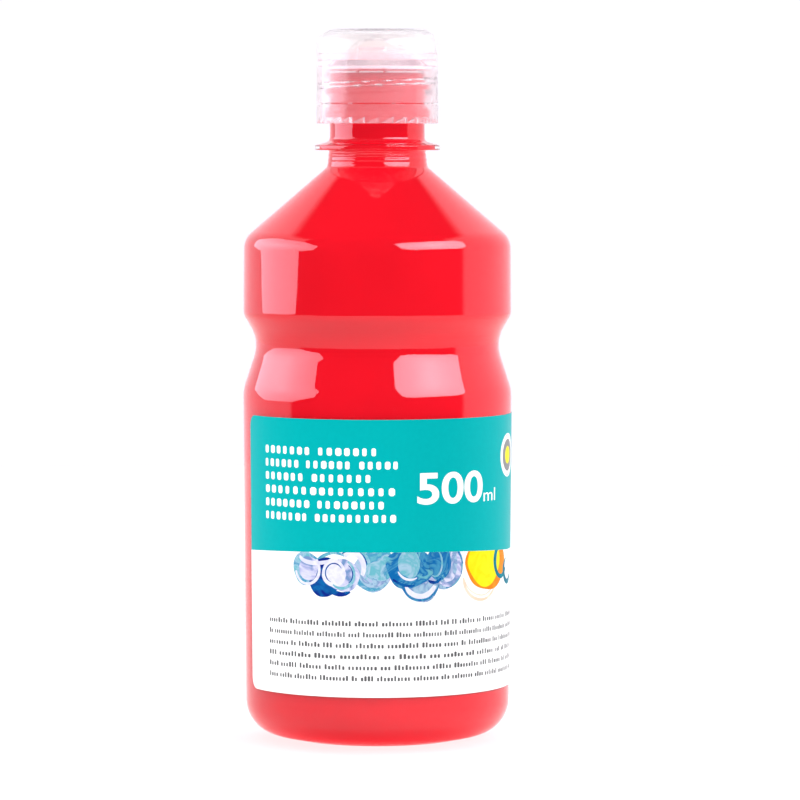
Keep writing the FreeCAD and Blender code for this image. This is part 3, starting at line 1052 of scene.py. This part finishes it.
# Layers of ink, each with its marks: azimuth, height, half width, half height and seed of a
# blot. A stroke follows such an oval and has its first and last angle and its width before
# the seed.
DAUBS = [
    ("under", (LILAC, MIST, GREY_BLUE, PALE), [
        (18.4, 43.4, 5.5, 4.9, 13),
        (30.0, 47.6, 5.4, 5.9, 4),
        (-2.0, 46.6, 5.0, 5.2, 2),
    ]),
    ("sky", (AQUA, SKY, MIST, AQUA), [
        (-31.0, 46.9, 4.3, 4.6, 1),
        (0.6, 48.4, 4.4, 4.3, 3),
        (-2.0, 46.6, 4.5, 4.7, 180, 320, 1.1, 34),
        (-18.4, 46.2, 5.4, 4.9, 60, 240, 1.0, 33),
    ]),
    ("navy", (NAVY, BLUE, NAVY), [
        (-22.4, 45.0, 4.6, 5.0, 5),
        (-10.6, 47.6, 4.0, 4.4, 10, 130, 0.8, 6),
        (-15.4, 45.0, 4.8, 4.4, 210, 300, 1.2, 31),
    ]),
    ("blue", (BLUE, SKY, BLUE, AQUA), [
        (14.0, 47.4, 6.2, 5.2, 7),
        (26.8, 48.6, 3.5, 4.6, 8),
        (18.6, 43.8, 5.0, 4.7, 185, 350, 0.7, 9),
        (30.2, 47.6, 5.0, 5.6, 270, 400, 0.6, 36),
    ]),
    ("lilac", (LILAC, PALE, LILAC, GREY_BLUE), [
        (-30.4, 47.0, 2.9, 3.1, 10),
        (-14.6, 45.6, 4.2, 4.3, 11),
        (30.6, 47.6, 4.0, 4.8, 250, 400, 1.5, 12),
    ]),
    ("pale", (PALE, (0.68, 0.68, 0.79), PALE), [
        (-31.0, 46.9, 3.6, 3.9, 190, 400, 0.8, 14),
        (-18.6, 46.0, 3.4, 3.6, 15),
        (-10.6, 47.4, 3.0, 3.8, 330, 490, 1.5, 16),
        (18.4, 43.6, 4.0, 3.6, 195, 345, 1.5, 17),
        (-27.0, 50.2, 4.6, 1.8, 180, 330, 1.2, 35),
        (14.0, 47.6, 3.4, 3.2, 200, 300, 0.6, 37),
    ]),
    ("mist", (MIST, AQUA, MIST), [
        (13.4, 48.4, 2.9, 3.6, 20),
        (-15.4, 45.8, 3.5, 3.7, 230, 420, 0.8, 21),
        (-10.6, 47.6, 4.4, 4.8, 320, 440, 0.7, 22),
        (25.0, 48.4, 2.0, 3.4, 240, 420, 0.5, 38),
    ]),
    ("shade", (NAVY, BLUE), [
        (-18.6, 46.0, 2.3, 2.5, 30, 250, 0.35, 41),
        (-14.0, 45.8, 2.2, 2.6, 300, 420, 0.3, 42),
        (13.6, 47.0, 5.2, 4.2, 215, 285, 0.7, 43),
        (24.6, 46.4, 2.6, 3.0, 230, 320, 0.8, 44),
    ]),
    ("cream", (CREAM, (0.82, 0.66, 0.54)), [
        (50.5, 44.2, 6.9, 6.2, 180, 350, 0.8, 23),
        (50.5, 44.6, 6.5, 5.2, 190, 330, 0.35, 45),
    ]),
    ("orange", (ORANGE, (0.76, 0.26, 0.015)), [
        (54.6, 47.6, 9.3, 6.9, 24),
    ]),
    ("yellow", (YELLOW, LEMON, YELLOW), [
        (53.0, 48.4, 7.0, 6.4, 25),
    ]),
    ("teal", (TEAL, (0.0, 0.20, 0.26)), [
        (66.5, 47.6, 3.6, 4.2, 60, 330, 1.5, 26),
        (75.5, 45.0, 3.4, 3.4, 120, 330, 1.5, 27),
    ]),
]


def make_daubs():
    """Round daubs of paint that hang from the teal field's edge, in layers of ink."""
    for layer, (name, colours, marks) in enumerate(DAUBS):
        mesh = bmesh.new()
        for azimuth, height, wide, tall, *rest in marks:
            centre, size = (across_at(azimuth), height), (wide, tall)
            if len(rest) == 1:
                add_blot(mesh, centre, size, 0.16, *rest)
            else:
                add_stroke(mesh, centre, size, *rest)
        cut_at_teal(mesh)
        print_mark(f"daub_{name}", mesh, brushed_ink(f"ink_{name}", ink_stops(*colours)), layer)


def make_back_daubs():
    """The same sort of daubs round the unseen side, in other colours of a paint range."""
    hues = [
        ("green", (0.03, 0.22, 0.05), (0.10, 0.36, 0.06), (0.42, 0.56, 0.10), (99, 176)),
        ("rose", (0.48, 0.01, 0.03), (0.66, 0.06, 0.10), (0.78, 0.36, 0.36), (115, 208)),
        ("violet", (0.07, 0.02, 0.20), (0.16, 0.06, 0.34), (0.46, 0.34, 0.62), (131, 224)),
        ("azure", NAVY, BLUE, MIST, (146, 239)),
        ("amber", ORANGE, YELLOW, (0.80, 0.62, 0.30), (161, 192)),
    ]
    for layer, (name, dark, middle, light, azimuths) in enumerate(hues):
        blots, strokes = bmesh.new(), bmesh.new()
        for azimuth in azimuths:
            add_blot(blots, (across_at(azimuth), 47.8), (6.2, 5.6), 0.3, azimuth)
            low = (across_at(azimuth - 2), 46.0)
            add_stroke(strokes, low, (5.6, 5.2), 200, 345, 1.0, azimuth)
            add_stroke(strokes, (across_at(azimuth + 3), 48.0), (2.6, 3.0), 150, 400, 0.8, azimuth)
        for part, mesh, stops, lift in (
            ("blot", blots, (dark, middle, dark), layer),
            ("stroke", strokes, (light, middle, light), layer + 5),
        ):
            cut_at_teal(mesh)
            material = brushed_ink(f"ink_{name}_{part}", ink_stops(*stops))
            print_mark(f"back_{name}_{part}", mesh, material, lift)


def make_dots():
    """Two plain ringed dots: the small one in the photo, and a colour chip at the back."""
    white, grey, yellow = (0.88, 0.88, 0.88), (0.22, 0.22, 0.23), (0.82, 0.70, 0.01)
    rings = ((5.7, white), (5.3, grey), (5.15, white), (4.2, grey), (2.3, yellow))
    chip = ((8.6, white), (7.8, PAINT_RED))
    for name, azimuth, height, sizes in (("dot", 74.6, 74.8, rings), ("chip", 205, 68.0, chip)):
        for layer, (size, colour) in enumerate(sizes):
            mesh = bmesh.new()
            add_blot(mesh, (across_at(azimuth), height), (size, size), 0.0, 0)
            material = film(f"ink_{name}_{layer}", colour)
            print_mark(f"{name}_{layer}", mesh, material, layer)


# ---- studio


FLOOR_REACH = 1.0
SOFTBOX_DISTANCE, SOFTBOX_AIM = 0.8, 0.11
LAMP_TINT = (0.97, 0.92, 1.08)


def make_floor():
    mesh = bmesh.new()
    bmesh.ops.create_circle(mesh, cap_ends=True, radius=FLOOR_REACH, segments=120)
    floor = finish_mesh("floor", mesh)
    look = Nodes("floor_white")
    grain = look.noise(30, 3)
    tones = [(0.3, (0.86, 0.86, 0.86)), (0.7, (0.88, 0.88, 0.88))]
    look.feed(look.ramp(grain, tones), "Base Color")
    look.set(Roughness=0.9, Specular_IOR_Level=0.1)
    floor.data.materials.append(look.material)
    return floor


def members(name, state, *targets):
    """A collection of things to be counted in (INCLUDE) or out (EXCLUDE)."""
    group = bpy.data.collections.new(name)
    for target in targets:
        if isinstance(target, bpy.types.Collection):
            group.children.link(target)
        else:
            group.objects.link(target)
    for member in (*group.collection_objects, *group.collection_children):
        member.light_linking.link_state = state
    return group


def shine_on(light, state, *targets):
    """Makes a light shine on the targets alone (INCLUDE) or on all but them (EXCLUDE)."""
    light.light_linking.receiver_collection = members(f"{light.name}_lit", state, *targets)


def toward(azimuth, elevation):
    """The way to a light, its azimuth in degrees from the camera's side, to the right."""
    turn = math.radians(azimuth) + CAMERA_AZIMUTH
    rise = math.radians(elevation)
    return Vector((
        math.sin(turn) * math.cos(rise),
        -math.cos(turn) * math.cos(rise),
        math.sin(rise),
    ))


def glowing(name, size, radiance, edge):
    """A lamp's diffuser: brightest in the middle, with the edge's share left at its rim."""
    look = Nodes(name)
    place = look.add("ShaderNodeMapping", vector_type="POINT")
    place.inputs["Scale"].default_value = (1.6 / size[0], 1.6 / size[1], 1)
    look.join(look.object_place(), place.inputs["Vector"])
    fall = look.add("ShaderNodeTexGradient", gradient_type="QUADRATIC_SPHERE")
    look.join(place.outputs["Vector"], fall.inputs["Vector"])
    glow = look.add("ShaderNodeEmission")
    tones = [(0.0, [channel * edge for channel in LAMP_TINT]), (1.0, LAMP_TINT)]
    look.join(look.ramp(fall.outputs["Fac"], tones), glow.inputs["Color"])
    glow.inputs["Strength"].default_value = radiance
    look.join(glow.outputs["Emission"], look.output.inputs["Surface"])
    return look.material


def softbox(name, azimuth, elevation, size, corner, radiance, edge):
    """A glowing panel facing the bottle, with this share of each side cut at its corners."""
    mesh = bmesh.new()
    width, height = size
    outline = cut_corners(
        -width / 2, width / 2, -height / 2, height / 2, corner * width, corner * height
    )
    mesh.faces.new([mesh.verts.new(point) for point in outline])
    panel = finish_mesh(name, mesh)
    panel.data.materials.append(glowing(name, size, radiance, edge))
    way = toward(azimuth, elevation)
    panel.location = Vector((0, 0, SOFTBOX_AIM)) + way * SOFTBOX_DISTANCE
    panel.rotation_euler = way.to_track_quat("Z", "Y").to_euler()
    panel.visible_camera = False
    panel.visible_transmission = False
    panel.visible_shadow = False
    return panel


def make_sun(name, irradiance, spread, azimuth=0, elevation=90):
    """A wide light from far away, which leaves no highlight of its own."""
    lamp = bpy.data.lights.new(name, "SUN")
    lamp.energy = irradiance
    lamp.angle = math.radians(spread)
    holder = in_scene(name, lamp)
    way = toward(azimuth, elevation)
    holder.location = way * 2
    holder.rotation_euler = way.to_track_quat("Z", "Y").to_euler()
    holder.visible_glossy = False
    holder.visible_transmission = False
    return holder


def make_world(dark, bright, to_the_eye):
    """A white room to the eye and through clear plastic, and two-toned in reflections.

    Reflections see pale walls behind and beside the bottle, and a dark camera side and roof.
    """
    world = bpy.data.worlds.new("studio")
    world.use_nodes = True
    bpy.context.scene.world = world
    look = Tree(world.node_tree)
    background = look.tree.nodes["Background"]
    background.inputs["Color"].default_value = (0.96, 0.93, 1, 1)
    way = look.add("ShaderNodeTexCoord").outputs["Generated"]
    level = look.add("ShaderNodeVectorMath", operation="MULTIPLY")
    level.inputs[1].default_value = (1, 1, 0)
    look.join(way, level.inputs[0])
    unit = look.add("ShaderNodeVectorMath", operation="NORMALIZE")
    look.join(level.outputs["Vector"], unit.inputs[0])
    ahead = look.add("ShaderNodeVectorMath", operation="DOT_PRODUCT")
    ahead.inputs[1].default_value = toward(0, 0)
    look.join(unit.outputs["Vector"], ahead.inputs[0])
    walls = look.add("ShaderNodeMath", operation="MULTIPLY")
    beside = look.levels(ahead.outputs["Value"], 0, 1, 0.24, 0.14, "SMOOTHSTEP")
    look.join(beside, walls.inputs[0])
    look.join(look.levels(look.height_of(way), 0, 1, 0.8, 0.7, "SMOOTHSTEP"), walls.inputs[1])
    tone = look.levels(walls.outputs["Value"], dark, bright)
    path = look.add("ShaderNodeLightPath")
    seen = look.add("ShaderNodeMath", operation="MAXIMUM")
    look.join(path.outputs["Is Camera Ray"], seen.inputs[0])
    look.join(path.outputs["Is Transmission Ray"], seen.inputs[1])
    strength = look.levels(seen.outputs["Value"], 0, to_the_eye)
    look.join(tone, strength.node.inputs["To Min"])
    look.join(strength, background.inputs["Strength"])


CAMERA_DISTANCE = 1.1835
CAMERA_HEIGHT = 0.1557
AIM_HEIGHT = 0.0886
AIM_RIGHT = 0.00596
LENS = 202.5


def make_camera():
    camera = bpy.data.cameras.new("camera")
    camera.lens = LENS
    camera.clip_end = 100
    holder = in_scene("camera", camera)
    holder.location = toward(0, 0) * CAMERA_DISTANCE + Vector((0, 0, CAMERA_HEIGHT))
    aim = toward(90, 0) * AIM_RIGHT + Vector((0, 0, AIM_HEIGHT))
    holder.rotation_euler = (aim - holder.location).to_track_quat("-Z", "Y").to_euler()
    bpy.context.scene.camera = holder


def make_studio():
    floor = make_floor()
    make_camera()
    left = softbox("softbox_left", -94, 17.5, (1.28, 0.6), corner=0.29, radiance=6.2, edge=0.6)
    right = softbox("softbox_right", 51.5, 27, (0.92, 0.5), corner=0.14, radiance=9.8, edge=0.65)
    for light in (left, right):
        shine_on(light, "EXCLUDE", floor, LABEL_PIECES)
    shine_on(make_sun("overhead", 1.2, 70), "EXCLUDE", floor)
    bounce = make_sun("floor_bounce", 1.3, 60, -20, -70)
    shine_on(bounce, "EXCLUDE", floor, LABEL_PIECES)
    bounce.light_linking.blocker_collection = members("bounce_blockers", "EXCLUDE", floor)
    wash = make_sun("floor_wash", 3.15, 60)
    shine_on(wash, "INCLUDE", floor)
    wash.light_linking.blocker_collection = members("floor_wash_blockers", "INCLUDE", floor)
    shine_on(make_sun("label_left", 3.25, 40, -60, 15), "INCLUDE", LABEL_PIECES)
    shine_on(make_sun("label_right", 2.65, 40, 60, 15), "INCLUDE", LABEL_PIECES)
    make_world(dark=0.05, bright=1.2, to_the_eye=1.08)
    scene = bpy.context.scene
    scene.view_settings.view_transform = "Standard"
    scene.cycles.max_bounces = 28
    scene.cycles.transmission_bounces = 28


make_studio()
make_bottle()
make_paint()
cap_plastic = natural_pp("cap_clear")
make_band(cap_plastic)
make_bridges(cap_plastic)
make_liner()
make_cap(cap_plastic)
make_lid(cap_plastic)
make_hinge(cap_plastic)
make_label()
make_words()
make_volume()
make_dots()
make_daubs()
make_back_daubs()
